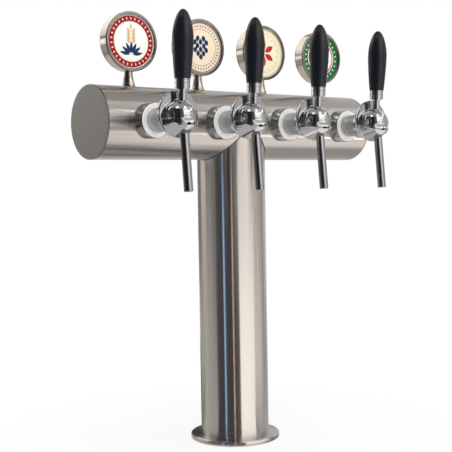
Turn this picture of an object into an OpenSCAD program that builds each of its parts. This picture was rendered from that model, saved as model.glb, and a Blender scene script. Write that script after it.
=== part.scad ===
// Draft beer tower: a T of two round tubes on a bolt-down flange, with lever ball taps
// along the front and round badge lamps on posts along the top.
// The cross tube runs along X, the taps face -Y, and the origin is the column's axis
// on the underside of the base flange.

/* [Tubes] */
// Outside diameter of the tube that the column and the cross tube are cut from
tube_d = 104; // [98:1:110]
// Wall of that tube
tube_wall = 2; // [1.5:0.5:3]
// Height of the cross tube's axis above the counter
axis_h = 479; // [400:1:560]
// Length of the cross tube over its end caps
cross_len = 494; // [480:1:560]
// Hole in the cross tube's underside where it opens into the column
riser_hole_d = 86; // [76:1:88]

/* [Base flange] */
// Outside diameter of the base flange
flange_d = 136; // [134:1:160]
// Thickness of the base flange
flange_t = 7; // [6:0.5:12]
// Bevel on the top edge of the base flange
flange_bevel = 1.2; // [0.5:0.1:2]
// Hole through the base flange for the beer lines
base_bore_d = 90; // [80:1:92]
// Pitch circle of the threaded holes in the underside of the flange
bolt_pcd = 120; // [118:1:124]
// Number of threaded holes in the flange
bolt_count = 4; // [3:1:6]
// Bore of each threaded hole
bolt_hole_d = 5; // [4:0.5:6]
// Depth of each threaded hole
bolt_depth = 5; // [4:0.5:5.5]
// Inside diameter of the rubber seal let into the flange's underside
seal_d = 96; // [95:0.5:98]
// Width of the seal's ring
seal_w = 6; // [4:0.5:7]
// Thickness of the seal
seal_t = 1.6; // [1:0.1:2]

/* [End caps] */
// Thickness of an end cap's disc
cap_t = 2; // [1.8:0.2:4]
// Radius on the front edge of an end cap
cap_edge = 0.8; // [0.4:0.1:1.2]
// Bevel on its back edge, which leaves a fine joint line round the tube
cap_bevel = 0.5; // [0.2:0.1:0.8]
// Length of the end cap's ring inside the tube
cap_spigot = 10; // [6:1:14]
// Wall of that ring
cap_spigot_wall = 2; // [1.5:0.5:4]

/* [Taps] */
// Number of taps, with one badge lamp above each
tap_count = 4; // [2:1:4]
// Distance from one tap to the next
tap_pitch = 121; // [112:1:124]
// Outside diameter of the socket welded on the tube
socket_d = 49; // [46:1:54]
// How far the socket stands out of the tube
socket_reach = 19; // [16:1:24]
// Bevel on the socket's front edge
socket_bevel = 1.6; // [0.8:0.2:2.4]
// Diameter of the socket's spigot through the tube wall
spigot_d = 30; // [28:1:34]
// How far the spigot reaches inside the tube
spigot_in = 5; // [3:1:8]
// Diameter of the tap's threaded stub
stub_d = 22; // [20:0.5:24]
// How far the stub reaches behind the spigot
stub_tail = 16; // [14:1:20]
// Width across the flats of the nut behind the socket
nut_af = 30; // [28:1:34]
// Thickness of that nut
nut_t = 8; // [6:1:12]
// Outside diameter of the coupling nut and the tap's neck
neck_d = 33.5; // [31:0.5:36]
// Length of the coupling nut
coupling_len = 27; // [24:1:30]
// Length of the tap's neck in front of the coupling nut
neck_len = 14; // [10:1:20]
// Diameter of the pin-spanner hole in the coupling nut
spanner_hole_d = 4.4; // [3:0.2:5]

/* [Tap body] */
// Diameter of the bell behind the ball
bell_d = 63; // [60:1:68]
// Diameter of the bell's back where the dome ends
bell_back_d = 46; // [44:1:50]
// Depth of the bell from its flat face to its back
bell_depth = 11; // [10:0.5:14]
// Thickness of the bell's rim
bell_rim = 2.6; // [2:0.2:4]
// Bevel round the bell's face
bell_bevel = 1.1; // [0.6:0.1:1.6]
// Height of the bell's centre above the tap's axis
bell_lift = 5; // [3:0.5:5]
// Width of the shadow gap between ball and bell
bell_gap = 1.7; // [1:0.1:2.2]
// Depth of that gap behind the bell's face
bell_gap_depth = 3; // [2:0.5:4]
// Outside diameter of the cradle below the ball
cradle_d = 50; // [49:0.5:53]
// Diameter of the cradle's skirt at the bell's face
skirt_d = 57; // [54:1:58]
// Drop of the cradle's rim below the ball's centre
rim_drop = 4.2; // [3:0.2:6]
// Forward slope of the cradle's rim
rim_slope = 21; // [10:1:26]
// Diameter across the outside of the cradle's two ears
ear_d = 46; // [45.4:0.2:48]

/* [Ball and spout] */
// Diameter of the valve ball
ball_d = 43.6; // [42:0.2:44]
// Distance of the ball's centre in front of the bell's face
ball_proud = 4; // [3:0.5:5]
// Height of the ball's centre above the tap's axis
ball_lift = 2; // [0:0.5:3]
// Width of the ball over its two side flats
ball_flats = 38; // [36:0.5:39]
// Bore of the beer way
port_d = 8; // [7:0.5:9]
// How far the handle is pulled to open the tap, in degrees
open_angle = 35; // [28:1:38]
// Outside diameter of the spout
spout_d = 12.5; // [11:0.5:13]
// Wall of the spout
spout_wall = 1.3; // [1:0.1:1.6]
// Distance from the ball's centre down to the spout's mouth
spout_reach = 100; // [80:1:130]
// Forward lean of the spout, in degrees
spout_lean = 5.5; // [0:0.5:8]
// Distance of the spout's axis in front of the ball's centre
spout_ahead = 6; // [4:0.5:7]
// Diameter of the trunnion screws that carry the ball
trunnion_d = 6; // [5:0.5:7]
// Depth of the trunnion holes in the ball
trunnion_depth = 7; // [5:0.5:8]
// Diameter of the trunnion screws' heads
trunnion_head_d = 10; // [9:0.5:12]

/* [Lever] */
// Diameter of the lever stem
stem_d = 10.5; // [9:0.5:11]
// Height of the ferrule's foot above the top of the bell
ferrule_rise = 0.3; // [0.2:0.1:4]
// Diameter of the stem's threaded ends
stud_d = 8; // [6:0.5:8]
// Depth of the stem's thread in the ball
stud_in_ball = 12; // [9:0.5:12]
// Depth of the stem's thread in the grip
stud_in_grip = 22; // [15:1:30]
// Distance of the stem's axis in front of the ball's centre
stem_ahead = 4; // [3:0.5:5]
// Forward lean of the lever at rest, in degrees
lever_lean = 2.5; // [0:0.5:5]
// Diameter of the chrome ferrule under the grip
ferrule_d = 20.6; // [18:0.2:21]
// Height of the ferrule
ferrule_h = 14.5; // [11:0.5:18]
// Diameter of the grip at its widest
grip_d = 28.6; // [26:0.2:32]
// Diameter of the grip's foot
grip_foot_d = 21.6; // [20:0.2:24]
// Length of the grip
grip_len = 90; // [70:1:110]
// Distance of the grip's widest place below its tip
grip_belly = 38; // [30:1:45]

/* [Badge lamps] */
// Diameter of a badge lamp
badge_d = 84; // [70:1:90]
// Thickness of a badge lamp
badge_t = 24; // [20:1:28]
// Height of the post between the tube and the lamp
post_h = 20; // [14:1:30]
// Diameter of the post's waist under the lamp
post_waist_d = 12.4; // [11:0.2:14]
// Diameter of the post's flared foot
post_foot_d = 18.4; // [16:0.2:22]
// Diameter of the post's threaded ends
post_stud_d = 8; // [7:0.5:9]
// Bore of the post for the lamp's wire
post_bore_d = 4; // [3:0.5:4.5]
// Side wall of the lamp's housing
badge_wall = 2.6; // [2:0.2:4]
// Radius on the back edge of the lamp's housing
badge_round = 8; // [4:0.5:9]
// Thickness of the bezel ring
bezel_t = 3; // [2:0.5:4]
// Width of the bezel ring
bezel_w = 4.4; // [4:0.2:6]
// Thickness of the lamp's face
face_t = 3; // [2:0.5:4]
// Diameter of the lamp's light board
board_d = 66; // [50:1:68]
// Thickness of the light board
board_t = 1.6; // [1:0.2:2]
// How far the post's stud reaches below the inside of the tube's wall
post_tail = 12; // [9:0.5:16]
// Width across the flats of the post's nut
post_nut_af = 13; // [12:0.5:16]
// Thickness of the post's nut
post_nut_t = 5; // [4:0.5:6]

/* [Beer lines] */
// Outside diameter of a steel beer line
line_d = 8; // [6:0.5:9]
// Wall of a beer line
line_wall = 0.8; // [0.5:0.1:1]
// Bend radius of a beer line
line_bend = 16; // [14:1:18]
// Height of the lines' open ends above the counter
line_end = 12; // [10:1:60]
// Depth of a line's end in the tap's stub
line_seat = 8; // [6:1:10]
// Distance of the outer lines from the column's axis
line_column = 30; // [26:1:32]
// Distance from an outer line to its neighbour
line_step = 14; // [12:1:16]

/* [Hidden] */
// Clearance of welded and seated faces
seat = 0.05;
// Clearance of the column's saddle under the cross tube
weld = 0.2;
// Clearance of a screw or a stub in its hole
loose = 0.2;
// Running clearance between the ball and what it turns in
run = 0.3;
// Clearance of the seat seals against the ball
seal_run = 0.15;
// Radial clearance of the trunnion screws in the ball
pin_run = 0.04;
// Gap between the cross tube and its end caps
cap_gap = 0.5;
// Small overrun of a cutting tool past the face that it cuts
eps = 0.5;
$fn = 72;

tube_r = tube_d / 2;
tube_half = cross_len / 2 - cap_t - cap_gap;
socket_face = tube_r + socket_reach;
spigot_face = tube_r - tube_wall - spigot_in;
coupling_face = socket_face + coupling_len;
bell_face = coupling_face + neck_len + bell_depth;
ball_y = bell_face + ball_proud;
ball_r = ball_d / 2;
chamber_r = ball_r + run;
gap_r = sqrt(pow(ball_r, 2) - pow(ball_proud, 2)) + bell_gap;
seal_face_r = ball_r + seal_run;
flat_x = ball_flats / 2;
ear_x = flat_x + run;
stub_end = spigot_face - stub_tail;
inlet_seal_wall = 3.8;
inlet_seal_r = port_d / 2 + inlet_seal_wall;
inlet_pocket = 2.4;
seat_back = ball_r + inlet_pocket;
spout_r = spout_d / 2;
spout_gap = 0.4;
spout_top = sqrt(pow(ball_r, 2) - pow(spout_ahead, 2)) + spout_gap;
outlet_seat = 2.2;
outlet_step = 1;
head_sink = 1.4;
stem_sink = 1;
stem_foot = ball_r - stem_sink;
ferrule_z = bell_lift - ball_lift + bell_d / 2 + ferrule_rise;
grip_z = ferrule_z + ferrule_h;
badge_r = badge_d / 2;
badge_z = tube_r + post_h + badge_r;
housing_bore_r = badge_r - badge_wall;
bezel_z = badge_t / 2 - bezel_t;
face_z = bezel_z - face_t;
shelf_t = 2;
board_gap = 4;
board_z = face_z - shelf_t - board_gap;
board_edge = 6;
board_hole_r = board_d / 2 - board_edge;
nut_seat = tube_r - tube_wall;

// Numbers of the taps, from the left
taps = [1 : tap_count];
// Place of tap i along the cross tube
function tap_x(i) = (i - (tap_count + 1) / 2) * tap_pitch;
// One name for each tap's copy of a piece
function each_tap(name) = [for (i = taps) str(name, "_", i)];
// Points on a round arc, from one angle to another
function arc(cx, cy, r, from, to, n = 8) =
    [for (k = [0 : n]) let (a = from + (to - from) * k / n) [cx + r * cos(a), cy + r * sin(a)]];

// A piece stood at tap i, on the cross tube's axis
module at_tap(i) {
    translate([tap_x(i), 0, axis_h]) children();
}

// A piece made along +Z, laid along -Y, so that its height is the distance to the front
module to_front() {
    rotate([90, 0, 0]) children();
}

// A piece placed at the centre of tap i's ball
module at_ball(i) {
    at_tap(i) translate([0, -ball_y, ball_lift]) children();
}

// A piece on the lever's leaning axis, from the ball's centre
module on_lever(i) {
    at_ball(i) rotate([lever_lean, 0, 0]) translate([0, -stem_ahead, 0]) children();
}

// A piece on the spout's axis, with +Z running down the spout
module on_spout() {
    translate([0, -spout_ahead, 0]) rotate([180 - spout_lean, 0, 0]) children();
}

// A piece placed at the centre of lamp i, made along +Z, with +Z to the front
module at_badge(i) {
    at_tap(i) translate([0, 0, badge_z]) to_front() children();
}

// A plain tube along +Z
module tube(r, wall, h) {
    difference() {
        cylinder(h = h, r = r);
        translate([0, 0, -eps]) cylinder(h = h + 2 * eps, r = r - wall);
    }
}

// Turned flange with a bevelled edge, blind threaded holes and a groove for the seal
module base_flange() {
    edge = flange_d / 2;
    color("silver") difference() {
        rotate_extrude() polygon([
            [base_bore_d / 2, 0], [edge, 0], [edge, flange_t - flange_bevel],
            [edge - flange_bevel, flange_t], [base_bore_d / 2, flange_t]]);
        for (k = [0 : bolt_count - 1])
            rotate([0, 0, 45 + k * 360 / bolt_count])
                translate([bolt_pcd / 2, 0, -eps])
                    cylinder(h = bolt_depth + eps, d = bolt_hole_d);
        translate([0, 0, -eps]) difference() {
            cylinder(h = seal_t + seat + eps, r = seal_d / 2 + seal_w + seat);
            translate([0, 0, -eps]) cylinder(h = seal_t + 3 * eps, r = seal_d / 2 - seat);
        }
    }
}

// Flat rubber ring, flush with the flange's underside
module base_seal() {
    color("dimgray") tube(seal_d / 2 + seal_w, seal_w, seal_t);
}

// Upright tube, its top cut to the saddle of the cross tube that it is welded to
module column_tube() {
    color("darkgray") difference() {
        translate([0, 0, flange_t]) tube(tube_r, tube_wall, axis_h - flange_t);
        translate([-tube_d, 0, axis_h]) rotate([0, 90, 0])
            cylinder(h = 2 * tube_d, r = tube_r + weld);
    }
}

// Cross tube, drilled for the riser, the tap sockets and the lamp posts
module cross_tube() {
    color("darkgray") difference() {
        translate([-tube_half, 0, axis_h]) rotate([0, 90, 0])
            tube(tube_r, tube_wall, 2 * tube_half);
        translate([0, 0, axis_h - tube_d]) cylinder(h = tube_d, d = riser_hole_d);
        for (i = taps) at_tap(i) {
            to_front() cylinder(h = tube_d, r = spigot_d / 2 + seat);
            cylinder(h = tube_d, r = post_stud_d / 2 + loose);
        }
    }
}

// Pressed cap: a disc with a soft edge and a ring that slips into the tube
module end_cap() {
    r = tube_r;
    spigot_r = tube_r - tube_wall - loose / 2;
    rotate_extrude() polygon(concat(
        [[0, 0], [spigot_r - cap_spigot_wall, 0], [spigot_r - cap_spigot_wall, -cap_spigot],
         [spigot_r, -cap_spigot], [spigot_r, 0], [r - cap_bevel, 0], [r, cap_bevel]],
        arc(r - cap_edge, cap_t - cap_edge, cap_edge, 0, 90, 6),
        [[0, cap_t]]));
}

module end_cap_left() {
    color("gray") translate([cap_t - cross_len / 2, 0, axis_h]) rotate([0, -90, 0]) end_cap();
}

module end_cap_right() {
    color("gray") translate([cross_len / 2 - cap_t, 0, axis_h]) rotate([0, 90, 0]) end_cap();
}

// Welded sockets: bosses coped to the tube, each with a spigot through the tube's wall
module tap_sockets() {
    color("silver") for (i = taps) at_tap(i) difference() {
        to_front() union() {
            difference() {
                rotate_extrude() polygon([
                    [0, 0], [socket_d / 2, 0], [socket_d / 2, socket_face - socket_bevel],
                    [socket_d / 2 - socket_bevel, socket_face], [0, socket_face]]);
                rotate([0, 90, 0]) cylinder(h = tube_d, r = tube_r + seat, center = true);
            }
            translate([0, 0, spigot_face]) cylinder(h = tube_r - spigot_face + eps, d = spigot_d);
        }
        to_front() cylinder(h = socket_face + eps, r = stub_d / 2 + loose);
    }
}

// Hexagon nuts that pull the taps' stubs tight from inside the tube
module shank_nuts() {
    color("gold") for (i = taps) at_tap(i)
        to_front() translate([0, 0, spigot_face - seat - nut_t]) difference() {
            cylinder(h = nut_t, d = nut_af / cos(30), $fn = 6);
            translate([0, 0, -eps]) cylinder(h = nut_t + 2 * eps, r = stub_d / 2 + seat);
        }
}

// Round nuts between socket and tap, with turned grooves and a hole for a pin spanner
module coupling_nuts() {
    groove_w = 0.9;
    groove_depth = 0.5;
    groove_pitch = 3.2;
    spanner_back = 8;
    spanner_depth = 4;
    color("silver") for (i = taps) at_tap(i) to_front()
        translate([0, 0, socket_face + seat]) difference() {
            cylinder(h = coupling_len - 2 * seat, d = neck_d);
            translate([0, 0, -eps]) cylinder(h = coupling_len + 2 * eps, r = stub_d / 2 + seat);
            for (k = [1 : 4])
                translate([0, 0, coupling_len - groove_pitch * k])
                    tube(neck_d / 2 + eps, groove_depth + eps, groove_w);
            translate([0, -neck_d / 2 - eps, spanner_back]) rotate([-90, 0, 0])
                cylinder(h = spanner_depth + eps, d = spanner_hole_d);
        }
}

// The bell's outline: flat face, bevel, narrow rim and a dome down to its back
module bell_profile() {
    r = bell_d / 2;
    back = bell_back_d / 2;
    rim = bell_face - bell_rim;
    dome = bell_depth - bell_rim;
    polygon(concat(
        [[0, bell_face - bell_depth]],
        [for (a = [90 : -7.5 : 0]) [back + (r - back) * cos(a), rim - dome * sin(a)]],
        [[r, bell_face - bell_bevel], [r - bell_bevel, bell_face], [0, bell_face]]));
}

// Chromed body: bell, neck and threaded stub, bored for the beer and cupped for the ball
module tap_body(i) {
    way_r = port_d / 2;
    way_lap = 6;
    color("lightgray") at_tap(i) difference() {
        union() {
            translate([0, 0, bell_lift]) to_front() rotate_extrude() bell_profile();
            to_front() translate([0, 0, coupling_face])
                cylinder(h = neck_len + bell_rim, d = neck_d);
            to_front() translate([0, 0, stub_end])
                cylinder(h = coupling_face - stub_end + eps, d = stub_d);
        }
        translate([0, -ball_y, ball_lift]) {
            sphere(r = chamber_r, $fn = 96);
            to_front() translate([0, 0, -ball_proud - bell_gap_depth])
                cylinder(h = bell_gap_depth + eps, r = gap_r);
            rotate([-90, 0, 0]) cylinder(h = seat_back, r = inlet_seal_r + seat);
            rotate([-90, 0, 0]) cylinder(h = seat_back + way_lap, r = way_r);
        }
        to_front() translate([0, 0, stub_end - eps])
            cylinder(h = ball_y - seat_back - stub_end, r = way_r);
        to_front() translate([0, 0, stub_end - eps])
            cylinder(h = line_seat + eps, r = line_d / 2 + loose / 2);
    }
}

// The cradle's outline: a cone at the bell's face that meets the bowl's round front at the
// angle join
module cradle_profile() {
    r = cradle_d / 2;
    skirt = skirt_d / 2;
    join = 40;
    polygon(concat(
        [[0, seat - ball_proud], [skirt, seat - ball_proud]],
        [for (a = [join : 5 : 90]) [r * cos(a), r * sin(a)]]));
}

// One of the cradle's ears: the part of a round knob that stands outside the ball's flat
module ear() {
    r = ear_d / 2;
    rotate([0, 90, 0]) rotate_extrude() polygon(concat(
        [[0, ear_x]],
        [for (k = [0 : 8]) let (a = asin(ear_x / r) + (90 - asin(ear_x / r)) * k / 8)
            [r * cos(a), r * sin(a)]]));
}

// Front cradle: a bowl under the ball, two ears for the trunnions and the spout's socket.
// A fine groove carries the ears' round outline on across the bowl.
module ball_cradle(i) {
    groove_w = 0.5;
    groove_depth = 0.6;
    ear_r = sqrt(pow(ear_d / 2, 2) - pow(ear_x, 2));
    groove_x = sqrt(pow(cradle_d / 2, 2) - pow(ear_r, 2)) - groove_depth;
    color("lightgray") at_ball(i) difference() {
        union() {
            difference() {
                to_front() rotate_extrude() cradle_profile();
                rotate([rim_slope, 0, 0]) translate([0, 0, cradle_d - rim_drop * cos(rim_slope)])
                    cube(2 * cradle_d, center = true);
            }
            ear();
            mirror([1, 0, 0]) ear();
        }
        translate([0, cradle_d + ball_proud - seat, 0]) cube(2 * cradle_d, center = true);
        intersection() {
            sphere(r = chamber_r, $fn = 96);
            cube([2 * ear_x, cradle_d, cradle_d], center = true);
        }
        on_spout() cylinder(h = cradle_d, r = spout_r + seat);
        rotate([0, 90, 0]) cylinder(h = cradle_d, r = trunnion_d / 2 + seat, center = true);
        for (side = [-1, 1]) rotate([0, 90 * side, 0]) {
            translate([0, 0, ear_d / 2 - head_sink])
                cylinder(h = cradle_d, r = trunnion_head_d / 2 + seat);
            translate([0, 0, groove_x]) tube(ear_r + groove_w, groove_w, cradle_d);
        }
    }
}

// Straight spout, held in the cradle and open at both ends
module spout(i) {
    tip_round = 0.5;
    inner = spout_r - spout_wall;
    color("lightgray") at_ball(i) on_spout() rotate_extrude() polygon([
        [inner, spout_top + outlet_seat], [spout_r, spout_top + outlet_seat],
        [spout_r, spout_reach - tip_round], [spout_r - tip_round, spout_reach],
        [inner + tip_round, spout_reach], [inner, spout_reach - tip_round]]);
}

// Soft seats of the balls: one behind each ball, round the inlet, and one on top of its spout
module seat_seals() {
    color("white") for (i = taps) at_ball(i) {
        difference() {
            rotate([-90, 0, 0]) cylinder(h = seat_back - seat, r = inlet_seal_r);
            rotate([-90, 0, 0]) cylinder(h = seat_back + eps, r = port_d / 2);
            sphere(r = seal_face_r, $fn = 96);
        }
        difference() {
            on_spout() cylinder(h = spout_top + outlet_seat - seat, r = spout_r - seat);
            on_spout() cylinder(h = spout_top + outlet_seat + eps, r = port_d / 2);
            sphere(r = seal_face_r, $fn = 96);
        }
    }
}

// Shouldered screws on which the balls turn, one from each side
module trunnion_screws() {
    slot_w = 1.2;
    slot_depth = 0.8;
    pin_in = flat_x - trunnion_depth + 2 * seat;
    pin_out = ear_d / 2 - slot_depth;
    color("silver") for (i = taps) at_ball(i) for (side = [-1, 1]) rotate([0, 90 * side, 0])
        difference() {
            union() {
                translate([0, 0, pin_in]) cylinder(h = pin_out - pin_in, d = trunnion_d);
                translate([0, 0, ear_d / 2 - head_sink + seat])
                    cylinder(h = head_sink - 2 * seat, d = trunnion_head_d);
            }
            translate([0, 0, ear_d / 2 - slot_depth / 2])
                cube([trunnion_head_d + eps, slot_w, slot_depth], center = true);
        }
}

// Ball of the valve: two flats, an angled beer way that lines up when the lever is pulled,
// holes for the trunnions and a threaded seat for the stem
module valve_ball(i) {
    color("lightgray") difference() {
        at_ball(i) rotate([0, 90, 0]) rotate_extrude() intersection() {
            circle(r = ball_r, $fn = 96);
            translate([0, -flat_x]) square([ball_d, ball_flats]);
        }
        at_ball(i) rotate([-open_angle, 0, 0]) translate([0, -spout_ahead, 0]) {
            rotate([-90, 0, 0]) translate([0, 0, -port_d / 2]) cylinder(h = ball_d, d = port_d);
            rotate([180 - spout_lean, 0, 0]) cylinder(h = ball_d, d = port_d - outlet_step);
        }
        at_ball(i) for (side = [-1, 1]) rotate([0, 90 * side, 0])
            translate([0, 0, flat_x - trunnion_depth])
                cylinder(h = trunnion_depth + eps, r = trunnion_d / 2 + pin_run);
        on_lever(i) translate([0, 0, stem_foot - stud_in_ball])
            cylinder(h = ball_d, r = stud_d / 2 + seat);
        on_lever(i) translate([0, 0, stem_foot]) cylinder(h = ball_d, r = stem_d / 2 + seat);
    }
}

// Stem: a turned rod with a stud at each end
module lever_stem(i) {
    color("lightgray") on_lever(i) {
        translate([0, 0, stem_foot - stud_in_ball + seat])
            cylinder(h = stud_in_ball + eps, d = stud_d);
        translate([0, 0, stem_foot + seat]) cylinder(h = ferrule_z - stem_foot - 2 * seat, d = stem_d);
        translate([0, 0, ferrule_z - eps]) cylinder(h = ferrule_h + stud_in_grip, d = stud_d);
    }
}

// Ferrule under the grip, with a stepped foot and two turned grooves
module ferrule(i) {
    step_h = 1.6;
    step_in = 1.2;
    edge = 0.4;
    groove_depth = 0.6;
    groove_half = 0.6;
    groove_top = 1.5;
    groove_pitch = 4.4;
    r = ferrule_d / 2;
    top = ferrule_h - seat;
    color("lightgray") on_lever(i) translate([0, 0, ferrule_z]) rotate_extrude() polygon(concat(
        [[stud_d / 2 + seat, 0], [r - step_in, 0], [r - step_in, step_h], [r, step_h]],
        [for (k = [1, 0], at = [-1, 0, 1])
            [r - (at == 0 ? groove_depth : 0),
             top - groove_top - k * groove_pitch + at * groove_half]],
        [[r, top - edge], [r - edge, top], [stud_d / 2 + seat, top]]));
}

// Radius of the grip at a share of its length below the tip
function grip_r(t) =
    let (belly = grip_belly / grip_len, above = 1 - t / belly, below = (t - belly) / (1 - belly))
    t < belly
        ? grip_d / 2 * sqrt(1 - pow(above, 1.7))
        : grip_d / 2 - (grip_d - grip_foot_d) / 2 * pow(below, 1.5);

// Moulded grip: a rounded tip that swells to the belly and draws in to the foot
module grip(i) {
    steps = 26;
    color("#1a1a1c") on_lever(i) translate([0, 0, grip_z]) difference() {
        rotate_extrude() polygon(concat(
            [[0, 0]],
            [for (k = [steps : -1 : 1]) let (t = pow(k / steps, 1.4)) [grip_r(t), grip_len * (1 - t)]],
            [[0, grip_len]]));
        translate([0, 0, -eps]) cylinder(h = stud_in_grip + eps, r = stud_d / 2 + seat);
    }
}

// Trumpet post: coped to the tube below and to the lamp's housing above, with a hollow stud
module badge_post(i) {
    foot_h = 1.6;
    foot_lip = 0.4;
    saddle_lap = 2;
    foot = post_foot_d / 2 + foot_lip;
    waist = post_waist_d / 2;
    flare = (post_foot_d - post_waist_d) / 2;
    top = tube_r + post_h;
    stud_low = nut_seat - post_tail;
    stud_high = top + badge_wall;
    color("tan") at_tap(i) difference() {
        union() {
            difference() {
                rotate_extrude() polygon(concat(
                    [[0, nut_seat], [foot, nut_seat], [foot, tube_r + foot_h]],
                    [for (k = [0 : 12]) let (t = k / 12)
                        [waist + flare * pow(1 - t, 2), tube_r + foot_h + (post_h - foot_h) * t]],
                    [[waist, top + saddle_lap], [0, top + saddle_lap]]));
                rotate([0, 90, 0]) cylinder(h = tube_d, r = tube_r + seat, center = true);
                translate([0, 0, badge_z]) rotate([90, 0, 0])
                    cylinder(h = tube_d, r = badge_r + seat, center = true);
            }
            translate([0, 0, stud_low]) cylinder(h = stud_high - stud_low, d = post_stud_d);
        }
        translate([0, 0, stud_low - eps]) cylinder(h = stud_high - stud_low + 2 * eps, d = post_bore_d);
    }
}

// Nuts that hold the lamp posts from inside the tube
module post_nuts() {
    nut_gap = 0.15;
    nut_top = sqrt(pow(nut_seat, 2) - pow(post_nut_af / 2, 2)) - nut_gap;
    color("silver") for (i = taps) at_tap(i)
        translate([0, 0, nut_top - post_nut_t]) difference() {
            cylinder(h = post_nut_t, d = post_nut_af / cos(30), $fn = 6);
            translate([0, 0, -eps]) cylinder(h = post_nut_t + 2 * eps, r = post_stud_d / 2 + seat);
        }
}

// Cast drum with a rounded back edge, a shelf for the face and three bosses for the board
module badge_housing(i) {
    back = -badge_t / 2;
    floor_t = 2.2;
    floor_z = back + floor_t;
    boss_d = 6;
    shelf_w = 3;
    shelf_slope = 1.5;
    corner = 4;
    color("tan") at_badge(i) difference() {
        union() {
            rotate_extrude() polygon(concat(
                [[0, back]],
                arc(badge_r - badge_round, back + badge_round, badge_round, -90, 0),
                [[badge_r, bezel_z], [housing_bore_r, bezel_z], [housing_bore_r, face_z],
                 [housing_bore_r - shelf_w, face_z], [housing_bore_r - shelf_w, face_z - shelf_t],
                 [housing_bore_r, face_z - shelf_t - shelf_slope],
                 [housing_bore_r, floor_z + corner], [housing_bore_r - corner, floor_z],
                 [0, floor_z]]));
            for (k = [0 : 2]) rotate([0, 0, 90 + 120 * k])
                translate([board_hole_r, 0, floor_z - eps])
                    cylinder(h = board_z - board_t - seat - floor_z + eps, d = boss_d);
        }
        rotate([90, 0, 0]) cylinder(h = badge_d, r = post_stud_d / 2 + seat);
    }
}

// Round boards with the lamps' lights, resting on the housings' bosses
module lamp_boards() {
    hole_d = 3;
    color("white") for (i = taps) at_badge(i) translate([0, 0, board_z - board_t])
        difference() {
            cylinder(h = board_t, d = board_d);
            for (k = [0 : 2]) rotate([0, 0, 90 + 120 * k])
                translate([board_hole_r, 0, -eps]) cylinder(h = board_t + 2 * eps, d = hole_d);
        }
}

// Translucent face, held against the housing's shelf by the bezel
module badge_face(i) {
    tints = ["firebrick", "moccasin", "lightyellow", "seagreen"];
    color(tints[(i - 1) % 4]) at_badge(i) translate([0, 0, face_z + seat])
        cylinder(h = face_t - 2 * seat, r = housing_bore_r - loose / 2);
}

// Polished ring that closes the housing
module badge_bezel(i) {
    front = badge_t / 2;
    round = 1.4;
    lip = 1;
    inner = badge_r - bezel_w;
    color("tan") at_badge(i) rotate_extrude() polygon(concat(
        [[inner, bezel_z + seat], [badge_r, bezel_z + seat]],
        arc(badge_r - round, front - round, round, 0, 90, 6),
        [[inner + lip, front], [inner, front - lip]]));
}

// Quarter bend of a beer line: starts at the origin along +X and turns up to +Y
module line_elbow(d) {
    translate([0, line_bend, 0]) rotate([0, 0, -90]) rotate_extrude(angle = 90)
        translate([line_bend, 0]) circle(d = d, $fn = 24);
}

// The run of one line on the +X side, as a solid rod: down the column, a bend, out along
// the cross tube, a second bend, and forward to the tap's stub
module line_run(x, down_x, run_y, d, over) {
    reach = stub_end + line_seat - loose;
    across = x - down_x - 2 * line_bend;
    translate([down_x, run_y, line_end - over])
        cylinder(h = axis_h - line_bend - line_end + over, d = d);
    translate([down_x + line_bend, run_y, axis_h]) rotate([90, 0, 0]) mirror([1, 0, 0])
        mirror([0, 1, 0]) line_elbow(d);
    translate([down_x + line_bend, run_y, axis_h]) rotate([0, 90, 0]) cylinder(h = across, d = d);
    translate([x - line_bend, run_y, axis_h]) mirror([0, 1, 0]) line_elbow(d);
    translate([x, run_y - line_bend, axis_h]) rotate([90, 0, 0])
        cylinder(h = reach + run_y - line_bend + over, d = d);
}

// The beer lines, one steel tube to each tap, mirrored about the column
module beer_lines() {
    color("silver") for (i = taps) {
        outer = abs(tap_x(i)) > tap_pitch;
        down_x = outer ? line_column : line_column - line_step;
        run_y = outer ? line_step : 0;
        mirror([tap_x(i) < 0 ? 1 : 0, 0, 0]) difference() {
            line_run(abs(tap_x(i)), down_x, run_y, line_d, 0);
            line_run(abs(tap_x(i)), down_x, run_y, line_d - 2 * line_wall, eps);
        }
    }
}

base_flange();
base_seal();
column_tube();
cross_tube();
end_cap_left();
end_cap_right();
tap_sockets();
beer_lines();
shank_nuts();
coupling_nuts();
trunnion_screws();
seat_seals();
post_nuts();
lamp_boards();
for (i = taps) {
    tap_body(i);
    ball_cradle(i);
    spout(i);
    valve_ball(i);
    lever_stem(i);
    ferrule(i);
    grip(i);
    badge_post(i);
    badge_housing(i);
    badge_face(i);
    badge_bezel(i);
}
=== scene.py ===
import bpy
import numpy as np
from mathutils import Matrix, Vector


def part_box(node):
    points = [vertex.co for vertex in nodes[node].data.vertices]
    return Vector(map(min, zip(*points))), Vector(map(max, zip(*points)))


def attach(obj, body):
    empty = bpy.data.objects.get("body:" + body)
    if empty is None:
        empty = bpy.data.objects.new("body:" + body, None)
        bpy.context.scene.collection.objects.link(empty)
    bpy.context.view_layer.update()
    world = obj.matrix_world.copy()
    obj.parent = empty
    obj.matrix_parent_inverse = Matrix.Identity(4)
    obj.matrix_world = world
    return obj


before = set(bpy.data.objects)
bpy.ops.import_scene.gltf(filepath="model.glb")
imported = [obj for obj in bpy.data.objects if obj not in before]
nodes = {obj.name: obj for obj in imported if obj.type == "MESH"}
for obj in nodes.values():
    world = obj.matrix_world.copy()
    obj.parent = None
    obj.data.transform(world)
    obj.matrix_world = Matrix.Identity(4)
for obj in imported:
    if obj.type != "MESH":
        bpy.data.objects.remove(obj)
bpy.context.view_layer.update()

# Camera
# A long lens a little below the cross tube, to the left of the tower's front, as in the
# photograph. Right, up and back are the camera's own axes.
camera_place = Vector((-0.9275, -1.1949, 0.39365))
camera_bearing = np.radians(-37.41)
camera_height = np.radians(2.63)
camera_roll = np.radians(-0.91)
focal_px = 983.6
frame_px = 452
axis_px = (225, 227)
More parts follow.
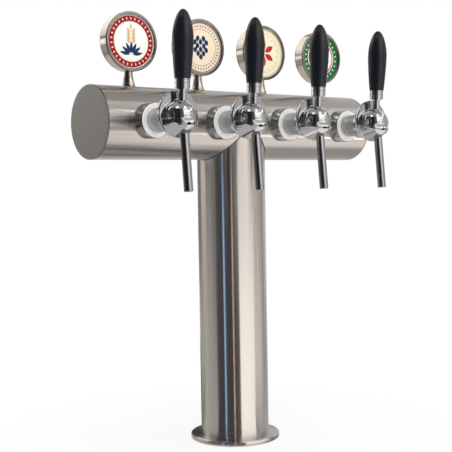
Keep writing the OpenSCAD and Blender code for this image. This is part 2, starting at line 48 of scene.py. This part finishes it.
sensor_mm = 36
back = Vector((
    np.sin(camera_bearing) * np.cos(camera_height),
    -np.cos(camera_bearing) * np.cos(camera_height),
    np.sin(camera_height),
))
level = Vector((np.cos(camera_bearing), np.sin(camera_bearing), 0))
upright = back.cross(level)
right = level * np.cos(camera_roll) + upright * np.sin(camera_roll)
up = upright * np.cos(camera_roll) - level * np.sin(camera_roll)
camera = bpy.data.objects.new("camera", bpy.data.cameras.new("camera"))
bpy.context.scene.collection.objects.link(camera)
facing = Matrix((right, up, back)).transposed().to_4x4()
camera.matrix_world = Matrix.Translation(camera_place) @ facing
camera.data.sensor_width = sensor_mm
camera.data.lens = sensor_mm * focal_px / frame_px
camera.data.shift_x = (frame_px / 2 - axis_px[0]) / frame_px
camera.data.shift_y = (axis_px[1] - frame_px / 2) / frame_px
bpy.context.scene.camera = camera
bpy.context.scene.view_settings.view_transform = "Standard"

# Studio
# A white room: the world and the floor show as white, also in metal. Cards that only metal
# sees stand round the tower, as a photographer's flags and soft boxes do.
floor_size = 12.0
floor_z = -0.0005
floor_grey = (0.9, 0.9, 0.9)
shadow_start = 0.1
shadow_reach = 0.45
shadow_share = 0.2
world_light = 0.72


def is_seen(tree):
    """1 for a ray from the camera, or one that a mirror or glass sends on, and 0 for others."""
    path = tree.nodes.new("ShaderNodeLightPath")
    seen = path.outputs["Is Camera Ray"]
    for kind in ("Is Glossy Ray", "Is Transmission Ray"):
        add = tree.nodes.new("ShaderNodeMath")
        add.operation = "MAXIMUM"
        tree.links.new(seen, add.inputs[0])
        tree.links.new(path.outputs[kind], add.inputs[1])
        seen = add.outputs[0]
    return seen


world = bpy.data.worlds.new("studio")
bpy.context.scene.world = world
world.use_nodes = True
sky = world.node_tree
strength = sky.nodes.new("ShaderNodeMapRange")
strength.inputs["To Min"].default_value = world_light
strength.inputs["To Max"].default_value = 1.0
sky.links.new(is_seen(sky), strength.inputs["Value"])
sky.nodes["Background"].inputs["Color"].default_value = (1, 1, 1, 1)
sky.links.new(strength.outputs["Result"], sky.nodes["Background"].inputs["Strength"])


def sheet_mesh(name, points, rings=False, tube=False):
    """A mesh from an array of points laid out in rows and columns, as one sheet of quads, or as
    many sheets as the array has. With rings, the last row joins the first, and with tube, the
    last column does."""
    rows, columns = points.shape[-3:-1]
    points = points.reshape(-1, 3)
    index = np.arange(len(points)).reshape(-1, rows, columns)
    if rings:
        index = np.concatenate([index, index[:, :1]], 1)
    if tube:
        index = np.concatenate([index, index[:, :, :1]], 2)
    quads = np.stack([
        index[:, :-1, :-1], index[:, :-1, 1:], index[:, 1:, 1:], index[:, 1:, :-1],
    ], -1)
    mesh = bpy.data.meshes.new(name)
    mesh.from_pydata(points.tolist(), [], quads.reshape(-1, 4).tolist())
    piece = bpy.data.objects.new(name, mesh)
    bpy.context.scene.collection.objects.link(piece)
    return piece


# The floor shows as plain white, and as its own lit grey by a share that is largest close to
# the tower, so that the tower keeps its shadow.
span = np.linspace(-floor_size / 2, floor_size / 2, 3)
floor = sheet_mesh("floor", np.stack(np.meshgrid(span, span, [floor_z]), -1)[:, :, 0])
floor_paint = bpy.data.materials.new("floor_paint")
floor_paint.use_nodes = True
tree = floor_paint.node_tree
tree.nodes.remove(tree.nodes["Principled BSDF"])
place = tree.nodes.new("ShaderNodeTexCoord")
distance = tree.nodes.new("ShaderNodeVectorMath")
distance.operation = "LENGTH"
plain_share = tree.nodes.new("ShaderNodeMapRange")
plain_share.interpolation_type = "SMOOTHSTEP"
plain_share.inputs["From Min"].default_value = shadow_start
plain_share.inputs["From Max"].default_value = shadow_reach
plain_share.inputs["To Min"].default_value = 1 - shadow_share
plain_share.inputs["To Max"].default_value = 1.0
white_share = tree.nodes.new("ShaderNodeMath")
white_share.operation = "MULTIPLY"
glow = tree.nodes.new("ShaderNodeEmission")
matt = tree.nodes.new("ShaderNodeBsdfDiffuse")
matt.inputs["Color"].default_value = (*floor_grey, 1)
blend = tree.nodes.new("ShaderNodeMixShader")
tree.links.new(place.outputs["Object"], distance.inputs[0])
tree.links.new(distance.outputs["Value"], plain_share.inputs["Value"])
tree.links.new(plain_share.outputs["Result"], white_share.inputs[0])
tree.links.new(is_seen(tree), white_share.inputs[1])
tree.links.new(white_share.outputs["Value"], blend.inputs["Fac"])
tree.links.new(matt.outputs["BSDF"], blend.inputs[1])
tree.links.new(glow.outputs["Emission"], blend.inputs[2])
tree.links.new(blend.outputs["Shader"], tree.nodes["Material Output"].inputs["Surface"])
floor.data.materials.append(floor_paint)

# The cards stand on a round wall or lie on the floor, at places given in metres from the
# column's axis and in degrees round it.
wall_r = 2.2
wall_top = 2.9
ceiling_top = 3.3
card_columns = 25
card_rows = 5
skirt_z = 0.0015
skirt_start = 0.072


def light_up(piece, colour, fade=None):
    """Makes a card glow in one colour, for metal alone. With fade, it thins out smoothly between
    those two heights."""
    paint = bpy.data.materials.new(piece.name)
    paint.use_nodes = True
    tree = paint.node_tree
    tree.nodes.remove(tree.nodes["Principled BSDF"])
    shine = tree.nodes.new("ShaderNodeEmission")
    shine.inputs["Color"].default_value = (*colour, 1)
    surface = shine.outputs["Emission"]
    if fade:
        place = tree.nodes.new("ShaderNodeTexCoord")
        axes = tree.nodes.new("ShaderNodeSeparateXYZ")
        thin = tree.nodes.new("ShaderNodeMapRange")
        thin.interpolation_type = "SMOOTHSTEP"
        thin.inputs["From Min"].default_value = fade[0]
        thin.inputs["From Max"].default_value = fade[1]
        clear = tree.nodes.new("ShaderNodeBsdfTransparent")
        blend = tree.nodes.new("ShaderNodeMixShader")
        tree.links.new(place.outputs["Object"], axes.inputs["Vector"])
        tree.links.new(axes.outputs["Z"], thin.inputs["Value"])
        tree.links.new(thin.outputs["Result"], blend.inputs["Fac"])
        tree.links.new(surface, blend.inputs[1])
        tree.links.new(clear.outputs["BSDF"], blend.inputs[2])
        surface = blend.outputs["Shader"]
    tree.links.new(surface, tree.nodes["Material Output"].inputs["Surface"])
    piece.data.materials.append(paint)
    piece.visible_camera = False
    piece.visible_diffuse = False
    piece.visible_shadow = False


def card(name, bearings, heights, colour, radii=(wall_r, wall_r), rise=0.0, fade=None):
    """A card bent round the tower: its points lie at a bearing from the camera's own side, in
    degrees to the right, with height and distance both running from the first to the last. It
    climbs by rise from its first bearing to its last."""
    across = np.linspace(0, 1, card_columns)
    step = np.linspace(0, 1, card_rows)
    turn = camera_bearing + np.radians(bearings[0] + (bearings[1] - bearings[0]) * across)
    height = heights[0] + (heights[1] - heights[0]) * step + rise * across[:, None]
    radius = radii[0] + (radii[1] - radii[0]) * step
    x = np.sin(turn)[:, None] * radius
    y = -np.cos(turn)[:, None] * radius
    light_up(sheet_mesh(name, np.stack([x, y, height], -1)), colour, fade)


def skirt(name, bearings, radii, colour):
    """A card that lies on the floor as part of a flat ring, from one radius to the other."""
    card(name, bearings, (skirt_z, skirt_z), colour, radii)


def flat_card(name, x, y, colour, turn=0.0, height=0.001):
    """A level card from x[0] to x[1] and y[0] to y[1], turned about the column's axis."""
    corner = np.stack(np.meshgrid(np.linspace(*x, 2), np.linspace(*y, 2), [height]), -1)[:, :, 0]
    spin = np.array([[np.cos(turn), np.sin(turn)], [-np.sin(turn), np.cos(turn)]])
    corner[:, :, :2] = corner[:, :, :2] @ spin
    light_up(sheet_mesh(name, corner), colour)


# Tones that more than one card has.
dusk = (0.07, 0.07, 0.075)
dim = (0.10, 0.095, 0.09)
bright = (1.5, 1.42, 1.34)
tent_white = (1.4, 1.32, 1.23)
wall_grey = (0.44, 0.42, 0.40)
box_white = (2.2, 2.2, 2.2)

# The round wall and its ceiling, from the camera's side to the right and then to the left. A
# flag and a strip hang just in front of it.
flag_r = 2.18
strip_r = 2.17
card("dark_flag", (-55, 0), (0, wall_top), (0.022, 0.022, 0.028))
card("dim_flag", (0, 22), (0, wall_top), dim)
card("front_foot", (22, 74), (0, 0.25), (1.35, 1.28, 1.22))
card("front_gap", (22, 45), (0.25, 0.75), (0.80, 0.77, 0.74))
card("front_side", (45, 58), (0.25, 0.75), (1.3, 1.23, 1.17))
card("front_box", (22, 58), (0.75, wall_top), (1.45, 1.37, 1.3))
card("right_foot", (58, 76), (0.25, 0.42), (0.90, 0.86, 0.82))
card("right_edge", (58, 76), (0.42, 0.78), (0.92, 0.88, 0.85))
card("hood_flag", (64.5, 88), (0.48, 0.78), (0.50, 0.51, 0.53), (flag_r, flag_r))
card("right_panel", (58, 76), (0.78, 1.9), (1.05, 1.0, 0.96))
card("right_screen", (76, 100), (0, 1.9), (0.58, 0.56, 0.54))
card("upper_screen", (58, 128), (1.9, wall_top), (0.70, 0.67, 0.64))
card("upper_strip", (30, 125), (1.42, 1.54), (3.9, 3.7, 3.45), (strip_r, strip_r), rise=0.57)
card("right_wall", (100, 128), (0, 1.9), wall_grey)
card("right_back", (128, 180), (0, wall_top), (0.75, 0.73, 0.71))
card("left_gap", (-85, -55), (0.25, wall_top), dusk)
card("left_dusk", (-100, -85), (0.25, 1.6), (0.09, 0.09, 0.09))
card("left_foot", (-100, -55), (0, 0.25), (0.56, 0.53, 0.50))
card("left_wall", (-128, -100), (0, 0.6), wall_grey)
card("left_end", (-128, -100), (0.6, 0.98), (1.7, 1.6, 1.48))
card("left_seam", (-128, -100), (0.98, 1.2), (0.20, 0.19, 0.18))
card("left_side", (-128, -100), (1.2, 1.6), (1.1, 1.03, 0.96))
card("left_tent", (-128, -85), (1.6, wall_top), tent_white)
card("left_back", (-168, -128), (0, 1.4), (0.22, 0.21, 0.20))
card("rear_edge", (-180, -168), (0, wall_top), (0.36, 0.36, 0.36))
card("left_high", (-168, -128), (1.4, wall_top), tent_white)
card("ceiling", (0, 360), (wall_top, ceiling_top), (0.38, 0.37, 0.36), (wall_r, 0.0))

# Low cards and skirts close to the base flange, which the tower's foot mirrors.
back_r = 0.2
card("back_dark", (-180, -140), (0, 0.12), (0.06, 0.06, 0.06), (back_r, back_r))
card("back_pale", (140, 180), (0, 0.12), (0.60, 0.58, 0.56), (back_r, back_r))
skirt("foot_shade", (-44, 0), (skirt_start, 0.1), dusk)
skirt("foot_dim", (0, 16), (skirt_start, 0.1), dim)
skirt("foot_glow", (16, 57), (skirt_start, 0.1), bright)
skirt("foot_right", (68, 150), (skirt_start, 0.3), (0.55, 0.53, 0.50))
skirt("foot_left", (-180, -110), (skirt_start, 0.45), (0.30, 0.28, 0.26))

# A low fence, which the column mirrors as dark, blue, orange and bright bands. It thins out
# upwards, so that the bands run on into those of the wall.
fence = (0.1, 0.1)
fence_top = 0.44
fence_fade = (0.12, 0.44)
tint = (0.0995, 0.0995)
tint_top = 0.45
tint_fade = (0.3, 0.55)
card("fence_dark", (-44, 0), (0, fence_top), dusk, fence, fade=fence_fade)
card("fence_blue", (-23.4, -20.4), (0, tint_top), (0.66, 0.93, 1.52), tint, fade=tint_fade)
card("fence_orange", (-0.8, 0.8), (0, tint_top), (1.7, 1.1, 0.85), tint, fade=tint_fade)
card("fence_dim", (0, 16), (0, fence_top), dim, fence, fade=fence_fade)
card("fence_glow", (16, 57), (0, fence_top), bright, fence, fade=fence_fade)

# The floor further out, and two boxes overhead, which the cross tube and the balls mirror.
strip_turn = np.radians(15)
box_z = 2.7
skirt("far_right", (100, 150), (1.15, wall_r), (0.36, 0.35, 0.34))
skirt("far_left", (-150, -100), (1.45, wall_r), (0.30, 0.29, 0.28))
skirt("far_front", (22, 58), (0.95, wall_r), (0.62, 0.60, 0.58))
skirt("far_cloth", (58, 100), (1.15, wall_r), (0.56, 0.535, 0.51))
flat_card("foot_board", (-0.05, 0.25), (-0.17, 0.16), (0.20, 0.195, 0.19))
flat_card("right_board", (0.25, 1.4), (-0.17, 0.4), (0.42, 0.41, 0.40))
flat_card("near_cloth", (-0.05, 0.25), (0.16, 0.4), (0.36, 0.35, 0.34))
flat_card("back_cloth", (-1.6, 1.4), (0.4, 1.4), (0.66, 0.64, 0.62))
flat_card("bright_cloth", (0.0, 1.6), (-0.84, -0.17), (1.12, 1.06, 1.0))
flat_card("lower_strip", (0.32, 1.7), (-0.90, -0.79), (2.9, 2.75, 2.6), strip_turn, 0.002)
flat_card("left_cloth", (-1.6, 0.0), (-0.55, 0.4), (0.58, 0.56, 0.545))
flat_card("dark_floor", (-3.0, 0.05), (-2.2, -0.53), (0.03, 0.03, 0.034), camera_bearing, 0.003)
flat_card("dim_floor", (0.05, 0.25), (-2.2, -0.53), (0.30, 0.29, 0.28), camera_bearing, 0.003)
flat_card("left_box", (-1.8, -1.1), (-0.95, -0.25), box_white, height=box_z)
flat_card("front_high", (0.0, 0.7), (-1.85, -1.2), box_white, height=box_z)

# Two area lamps give the soft light. Each has its place, its size and its power in watts, and
# looks at the middle of the tower.
lamps = (
    ("key", (-1.6, -2.2, 2.6), 2.0, 48),
    ("fill", (2.2, -1.8, 1.8), 2.4, 26),
)
tower_middle = Vector((0, 0, 0.35))
for name, spot, size, watts in lamps:
    lamp = bpy.data.objects.new(name, bpy.data.lights.new(name, "AREA"))
    bpy.context.scene.collection.objects.link(lamp)
    lamp.data.size = size
    lamp.data.energy = watts
    aim = (Vector(spot) - tower_middle).to_track_quat("Z", "Y")
    lamp.matrix_world = Matrix.Translation(spot) @ aim.to_matrix().to_4x4()
    lamp.visible_glossy = False

# Column and cross tube
# Two lengths of stainless tube, 104 mm across, the column coped and welded under the cross
# tube. Both are ground round and round on a belt, so the fine lines run about each tube.
steel_tint = (0.60, 0.575, 0.55)


def plain_finish(name, colour, roughness, metallic=1.0, gloss=0.5):
    """A material that is the same all over: metal, or with metallic at 0 plastic or rubber, which
    mirrors more with more gloss."""
    material = bpy.data.materials.new(name)
    material.use_nodes = True
    shader = material.node_tree.nodes["Principled BSDF"]
    shader.inputs["Base Color"].default_value = (*colour, 1)
    shader.inputs["Metallic"].default_value = metallic
    shader.inputs["Roughness"].default_value = roughness
    shader.inputs["Specular IOR Level"].default_value = gloss
    return material


# The span that the noise mostly keeps to, and the least roughness that a grain may reach.
noise_range = (0.25, 0.75)
smoothest = 0.01


def grained(material, waves, shade=0.06, rough=0.04, depth=0.0, detail=4.0):
    """Gives a material its fine grain: noise of so many waves per metre along x, y and z varies
    the colour by shade, the roughness by rough, and the height by depth in metres."""
    tree = material.node_tree
    shader = tree.nodes["Principled BSDF"]
    place = tree.nodes.new("ShaderNodeTexCoord")
    mapping = tree.nodes.new("ShaderNodeMapping")
    mapping.inputs["Scale"].default_value = waves
    noise = tree.nodes.new("ShaderNodeTexNoise")
    noise.inputs["Scale"].default_value = 1.0
    noise.inputs["Detail"].default_value = detail
    tree.links.new(place.outputs["Object"], mapping.inputs["Vector"])
    tree.links.new(mapping.outputs["Vector"], noise.inputs["Vector"])
    colour = shader.inputs["Base Color"].default_value[:3]
    roughness = shader.inputs["Roughness"].default_value
    tone = tree.nodes.new("ShaderNodeMix")
    tone.data_type = "RGBA"
    tone.inputs["A"].default_value = (*[c * (1 - shade) for c in colour], 1)
    tone.inputs["B"].default_value = (*[min(c * (1 + shade), 1) for c in colour], 1)
    tree.links.new(noise.outputs["Fac"], tone.inputs["Factor"])
    tree.links.new(tone.outputs["Result"], shader.inputs["Base Color"])
    if rough:
        dull = tree.nodes.new("ShaderNodeMapRange")
        dull.inputs["From Min"].default_value = noise_range[0]
        dull.inputs["From Max"].default_value = noise_range[1]
        dull.inputs["To Min"].default_value = max(roughness - rough, smoothest)
        dull.inputs["To Max"].default_value = roughness + rough
        tree.links.new(noise.outputs["Fac"], dull.inputs["Value"])
        tree.links.new(dull.outputs["Result"], shader.inputs["Roughness"])
    if depth:
        bump = tree.nodes.new("ShaderNodeBump")
        bump.inputs["Distance"].default_value = depth
        tree.links.new(noise.outputs["Fac"], bump.inputs["Height"])
        tree.links.new(bump.outputs["Normal"], shader.inputs["Normal"])
    return material


def ground_round(material, axis):
    """Gives a surface that was ground round an axis its smeared shine, turned by a quarter so
    that it runs along the axis and not round it."""
    tangent = material.node_tree.nodes.new("ShaderNodeTangent")
    tangent.direction_type = "RADIAL"
    tangent.axis = axis
    shader = material.node_tree.nodes["Principled BSDF"]
    shader.inputs["Anisotropic"].default_value = 1.0
    shader.inputs["Anisotropic Rotation"].default_value = 0.25
    material.node_tree.links.new(tangent.outputs["Tangent"], shader.inputs["Tangent"])
    return material


def dress(node, material):
    """Puts a material on a node of the construction."""
    nodes[node].data.materials.clear()
    nodes[node].data.materials.append(material)


column_steel = ground_round(plain_finish("column_steel", steel_tint, 0.27), "Z")
dress("column_tube", grained(column_steel, (12, 12, 1500), shade=0.03, rough=0.0, detail=2.0))
cross_steel = ground_round(plain_finish("cross_steel", steel_tint, 0.22), "X")
dress("cross_tube", grained(cross_steel, (1500, 12, 12), shade=0.03, rough=0.0, detail=2.0))

# Joint line
# The weld between the column and the cross tube, ground back on the outside until it shows
# only as a fine line of darker steel.
column_low, column_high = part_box("column_tube")
cap_low, cap_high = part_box("end_cap_left")
tube_r = (column_high[0] - column_low[0]) / 2
cross_z = (cap_high[2] + cap_low[2]) / 2
bead_r = 0.0007
bead_steps = 360
bead_sides = 8


def joint_line():
    """Where two equal round tubes meet squarely, x and y go round a circle of the tube's radius,
    and z is the cross tube's axis less the size of x. Thin rings along that path make a bead,
    which closes on itself."""
    turn = np.linspace(0, 2 * np.pi, bead_steps, endpoint=False)
    ring = np.linspace(0, 2 * np.pi, bead_sides, endpoint=False)[:, None]
    x, y = tube_r * np.cos(turn), tube_r * np.sin(turn)
    path = np.stack([x, y, cross_z - np.abs(x)], -1)
    out = np.stack([np.cos(turn), np.sin(turn), np.zeros_like(turn)], -1)
    down = np.array([0, 0, -1.0])
    bead = path[:, None] + bead_r * (np.cos(ring) * out[:, None] + np.sin(ring) * down)
    return sheet_mesh("joint_line", bead, rings=True, tube=True)


joint = joint_line()
joint_steel = plain_finish("joint_steel", (0.05, 0.05, 0.05), 0.5)
joint.data.materials.append(grained(joint_steel, (500, 500, 500), shade=0.3, rough=0.1))
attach(joint, "root")

# Base flange and seal
# A turned stainless ring, welded to the column's foot and held from below, with a flat
# rubber seal let into its underside.
flange_steel = ground_round(plain_finish("flange_steel", steel_tint, 0.27), "Z")
grained(flange_steel, (700, 700, 700), shade=0.08, rough=0.05, depth=0.00001)
dress("base_flange", flange_steel)
seal_rubber = plain_finish("seal_rubber", (0.03, 0.03, 0.03), 0.75, metallic=0.0)
dress("base_seal", grained(seal_rubber, (400, 400, 400), shade=0.2, rough=0.1))

# End caps
# Pressed stainless discs with a ring behind, which slips into the tube's end. Their faces are
# ground flat, with straight lines.
# The caps are of the tubes' steel, painted darker as painted shade on the tube's ends.
cap_steel = plain_finish("cap_steel", (0.36, 0.356, 0.352), 0.48)
grained(cap_steel, (30, 800, 20), shade=0.03, rough=0.03, detail=2.0)
dress("end_cap_left", cap_steel)
dress("end_cap_right", cap_steel)

# Tap sockets and what is inside the cross tube
# Bright turned sockets welded to the tube. Inside, brass nuts draw the taps tight, zinc-plated
# nuts hold the lamps' posts, and drawn steel lines bring the beer up the column.
# The band at the sockets' front faces that carries a painted highlight, and its metallic.
bright_face_depth = 0.0008
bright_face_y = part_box("tap_sockets")[0][1] + bright_face_depth
bright_face_metallic = 0.3
socket_steel = plain_finish("socket_steel", (0.50, 0.50, 0.50), 0.14)
grained(socket_steel, (300, 300, 300), shade=0.03, rough=0.02)


def paint_bright_face(material, face_y, colour, roughness, metallic):
    """Where a socket is faced off in the lathe, in front of face_y, it is satin, with a painted
    highlight: near white and less metallic, for the bright light that the face mirrors.
    """
    tree = material.node_tree
    shader = tree.nodes["Principled BSDF"]
    place = tree.nodes.new("ShaderNodeTexCoord")
    axes = tree.nodes.new("ShaderNodeSeparateXYZ")
    front = tree.nodes.new("ShaderNodeMath")
    front.operation = "LESS_THAN"
    front.inputs[1].default_value = face_y
    tree.links.new(place.outputs["Object"], axes.inputs["Vector"])
    tree.links.new(axes.outputs["Y"], front.inputs[0])
    for socket, value in (("Base Color", (*colour, 1)), ("Roughness", roughness)):
        mix = tree.nodes.new("ShaderNodeMix")
        mix.data_type = "RGBA" if socket == "Base Color" else "FLOAT"
        mix.inputs["B"].default_value = value
        tree.links.new(shader.inputs[socket].links[0].from_socket, mix.inputs["A"])
        tree.links.new(front.outputs["Value"], mix.inputs["Factor"])
        tree.links.new(mix.outputs["Result"], shader.inputs[socket])
    pale = tree.nodes.new("ShaderNodeMapRange")
    pale.inputs["To Min"].default_value = 1.0
    pale.inputs["To Max"].default_value = metallic
    tree.links.new(front.outputs["Value"], pale.inputs["Value"])
    tree.links.new(pale.outputs["Result"], shader.inputs["Metallic"])


# The front face: real satin from the lathe, and a painted highlight in near white.
paint_bright_face(socket_steel, bright_face_y, (1.0, 1.0, 0.99), 0.5, bright_face_metallic)
dress("tap_sockets", socket_steel)
brass = plain_finish("brass", (0.72, 0.52, 0.25), 0.32)
dress("shank_nuts", grained(brass, (300, 300, 300), shade=0.1, rough=0.08))
zinc_steel = plain_finish("zinc_steel", (0.62, 0.63, 0.64), 0.35)
grained(zinc_steel, (300, 300, 300), shade=0.08, rough=0.08)
dress("post_nuts", zinc_steel)
line_steel = plain_finish("line_steel", (0.60, 0.60, 0.60), 0.30)
dress("beer_lines", grained(line_steel, (120, 120, 120), shade=0.08, rough=0.08))

# Taps
# Chromed brass: a bell behind the ball, a cradle in front of it with two round ears, and a
# straight spout. A satin nut with turned grooves draws each on to its socket. The ball turns
# on two zinc-plated screws, between seals of a slippery plastic, whose dark grey is painted
# shade where the spout meets the ball.
taps = range(1, 5)
chrome = plain_finish("chrome", (0.62, 0.635, 0.65), 0.1)
grained(chrome, (60, 60, 60), shade=0.02, rough=0.015)
spout_steel = plain_finish("spout_steel", (0.42, 0.43, 0.44), 0.17)
grained(spout_steel, (60, 60, 60), shade=0.02, rough=0.015)
satin_chrome = plain_finish("satin_chrome", (0.41, 0.42, 0.415), 0.38, metallic=0.5)
grained(satin_chrome, (40, 900, 40), shade=0.25, rough=0.06, depth=0.00002, detail=2.0)
dress("coupling_nuts", satin_chrome)
dress("trunnion_screws", zinc_steel)
for i in taps:
    for part in ("tap_body", "ball_cradle"):
        dress(f"{part}_{i}", chrome)
    dress(f"spout_{i}", spout_steel)
# The seals' dark grey is painted shade where the spout meets the ball.
seat_painted_shade = plain_finish("seat_painted_shade", (0.11, 0.11, 0.115), 0.3, metallic=0.0)
dress("seat_seals", grained(seat_painted_shade, (300, 300, 300), shade=0.04, rough=0.05))

# Levers
# Each turns with its ball: a chromed ball and stem, a ferrule with two turned grooves, and a
# moulded black grip.
grip_black = plain_finish("grip_black", (0.006, 0.008, 0.012), 0.26, metallic=0.0, gloss=0.4)
grained(grip_black, (250, 250, 250), shade=0.06, rough=0.012)
for i in taps:
    for part in ("valve_ball", "lever_stem", "ferrule"):
        dress(f"{part}_{i}", chrome)
    dress(f"grip_{i}", grip_black)

# Badge lamps
# Cast drums of polished nickel on trumpet posts. A bezel holds each printed face, and a board
# of small lights shines through it from behind.
nickel = plain_finish("nickel", (0.62, 0.57, 0.52), 0.18)
grained(nickel, (90, 90, 90), shade=0.03, rough=0.02)
bezel_nickel = plain_finish("bezel_nickel", (0.34, 0.32, 0.30), 0.2)
grained(bezel_nickel, (90, 90, 90), shade=0.03, rough=0.02)
board_white = plain_finish("board_white", (0.82, 0.82, 0.78), 0.5, metallic=0.0)
dress("lamp_boards", grained(board_white, (200, 200, 200), shade=0.05, rough=0.05))
for i in taps:
    dress(f"badge_post_{i}", nickel)
    dress(f"badge_housing_{i}", nickel)
    dress(f"badge_bezel_{i}", bezel_nickel)

# Printed faces
# Each lamp's face is a disc of satin plastic that lets light through, printed on its front
# with rings round the edge and a simple ornament in the middle, another one for each tap.
face_colours = {
    1: (0.93, 0.93, 0.90),
    2: (0.93, 0.76, 0.56),
    3: (0.93, 0.86, 0.62),
    4: (0.90, 0.92, 0.92),
}
inks = {
    "red": (0.33, 0.005, 0.024),
    "bright_red": (0.56, 0.015, 0.028),
    "navy": (0.008, 0.030, 0.100),
    "blue": (0.050, 0.200, 0.500),
    "green": (0.010, 0.180, 0.050),
    "gold": (0.70, 0.46, 0.18),
    "cream": (0.93, 0.85, 0.65),
}
ink_lift = 0.00004
ring_steps = 144
leaf_steps = 13
wave_steps = 49
ink_paints = {}
for ink, colour in inks.items():
    ink_paints[ink] = plain_finish(f"ink_{ink}", colour, 0.3, metallic=0.0, gloss=0.2)
    grained(ink_paints[ink], (300, 300, 300), shade=0.05, rough=0.03)
for i in taps:
    face = plain_finish(f"face_{i}", face_colours[i], 0.25, metallic=0.0)
    dress(f"badge_face_{i}", grained(face, (200, 200, 200), shade=0.02, rough=0.03))


def lay_print(name, tap, ink, layer, u, v, rings=False):
    """A print on the face of one tap's lamp: u to the right and v up from the middle of the
    face, in millimetres, set a hair in front of it for each layer."""
    low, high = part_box(f"badge_face_{tap}")
    points = np.stack([
        (low[0] + high[0]) / 2 + u / 1000,
        np.full_like(u, low[1] - ink_lift * layer),
        (low[2] + high[2]) / 2 + v / 1000,
    ], -1)
    piece = sheet_mesh(f"{name}_{tap}", points, rings)
    piece.data.materials.append(ink_paints[ink])
    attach(piece, "root")


def ring_print(name, tap, ink, layer, inner, outer):
    """A flat ring: the turn runs once round, and the radius from the inner to the outer edge."""
    turn = np.linspace(0, 2 * np.pi, ring_steps, endpoint=False)[:, None]
    radius = np.array([[inner, outer]])
    u, v = radius * np.cos(turn), radius * np.sin(turn)
    lay_print(name, tap, ink, layer, u, v, rings=True)


def leaf_print(name, tap, ink, layer, root_u, root_v, turns, length, width):
    """A set of leaves: each runs from its root, at its turn from upright in degrees, and its
    half width is a sine of the share of its length."""
    share = np.linspace(0, 1, leaf_steps)[:, None]
    side = np.array([[-0.5, 0.5]])
    turn = np.radians(np.asarray(turns, float))[:, None, None]
    along = length * share
    across = width * side * np.sin(np.pi * share)
    u = np.asarray(root_u, float)[:, None, None] + along * np.sin(turn) + across * np.cos(turn)
    v = np.asarray(root_v, float)[:, None, None] + along * np.cos(turn) - across * np.sin(turn)
    lay_print(name, tap, ink, layer, u, v)


def leaf_ring(name, tap, ink, layer, count, radius, length, width):
    """Leaves set evenly round the middle, which point outwards from a radius."""
    turns = np.arange(count) * 360 / count
    root_u = radius * np.sin(np.radians(turns))
    root_v = radius * np.cos(np.radians(turns))
    leaf_print(name, tap, ink, layer, root_u, root_v, turns, length, width)


def wave_print(name, tap, ink, layer, heights, reach, lift, width):
    """Wavy bands across the middle, one for each height: the middle line is a sine of two full
    waves, and the half width is a cosine that ends at nothing on both sides."""
    share = np.linspace(-1, 1, wave_steps)[:, None]
    side = np.array([[0.5, -0.5]])
    level = np.asarray(heights, float)[:, None, None]
    reach = np.asarray(reach, float)[:, None, None]
    v = level + lift * np.sin(2 * np.pi * share) + width * side * np.cos(np.pi * share / 2)
    lay_print(name, tap, ink, layer, np.broadcast_to(reach * share, v.shape), v)


# The first face: a bordered ring of leaves, and an ear of grain over a fan of leaves.
ring_print("outer_ring", 1, "cream", layer=1, inner=36.3, outer=37.5)
ring_print("broad_ring", 1, "red", layer=1, inner=28.7, outer=36.3)
ring_print("inner_ring", 1, "gold", layer=1, inner=27.7, outer=28.7)
leaf_ring("ring_leaves", 1, "cream", layer=2, count=30, radius=30.4, length=4.2, width=1.9)
ear_foot = -3
ear_tip = 16.5
ear_pairs = 5
ear_pitch = 4.0
ear_side = np.tile([1, -1], ear_pairs)
ear_u = np.append(0.7 * ear_side, 0)
ear_v = np.append(ear_foot + ear_pitch * np.repeat(np.arange(ear_pairs), 2), ear_tip)
ear_turns = np.append(48 * ear_side, 0)
leaf_print("ear", 1, "gold", 1, ear_u, ear_v, ear_turns, length=9.0, width=3.4)
fan_r = 2.5
fan_foot = -19
fan_turns = np.linspace(-78, 78, 7)
fan_u = fan_r * np.sin(np.radians(fan_turns))
fan_v = fan_r * np.cos(np.radians(fan_turns)) + fan_foot
leaf_print("fan", 1, "navy", 1, fan_u, fan_v, fan_turns, length=17.0, width=4.8)

# The second face: a ring of leaves between two lines, and a hop cone of thirteen scales.
ring_print("outer_ring", 2, "navy", layer=1, inner=35.7, outer=36.7)
ring_print("inner_ring", 2, "navy", layer=1, inner=26.8, outer=27.4)
leaf_ring("ring_leaves", 2, "navy", layer=1, count=40, radius=29.4, length=4.0, width=1.7)
cone_u = np.array([-4.2, 4.2, -8.4, 0, 8.4, -4.6, 4.6, -8.0, 0, 8.0, -4.0, 4.0, 0])
cone_v = np.array([18, 18, 12, 13, 12, 7, 7, 1, 2, 1, -4, -4, -9])
leaf_print("cone", 2, "navy", 1, cone_u, cone_v, 180 - 3 * cone_u, length=9.5, width=7.0)

# The third face: two lines, with a rosette of six leaves inside a ring of small ones.
ring_print("outer_ring", 3, "gold", layer=1, inner=35.3, outer=35.9)
ring_print("inner_ring", 3, "gold", layer=1, inner=29.4, outer=30.2)
leaf_ring("rosette", 3, "bright_red", layer=1, count=6, radius=3.0, length=19.0, width=9.0)
leaf_ring("small_leaves", 3, "gold", layer=1, count=18, radius=24.4, length=3.6, width=2.0)

# The fourth face: a broad ring with leaves on it, a narrow one inside, and four waves.
ring_print("broad_ring", 4, "green", layer=1, inner=28.0, outer=37.5)
ring_print("inner_ring", 4, "bright_red", layer=1, inner=24.2, outer=26.6)
leaf_ring("ring_leaves", 4, "cream", layer=2, count=26, radius=30.4, length=4.4, width=2.0)
wave_v = (-12, -4, 4, 12)
wave_reach = (17, 20.5, 20.5, 17)
wave_print("waves", 4, "blue", 1, wave_v, wave_reach, lift=1.8, width=4.4)
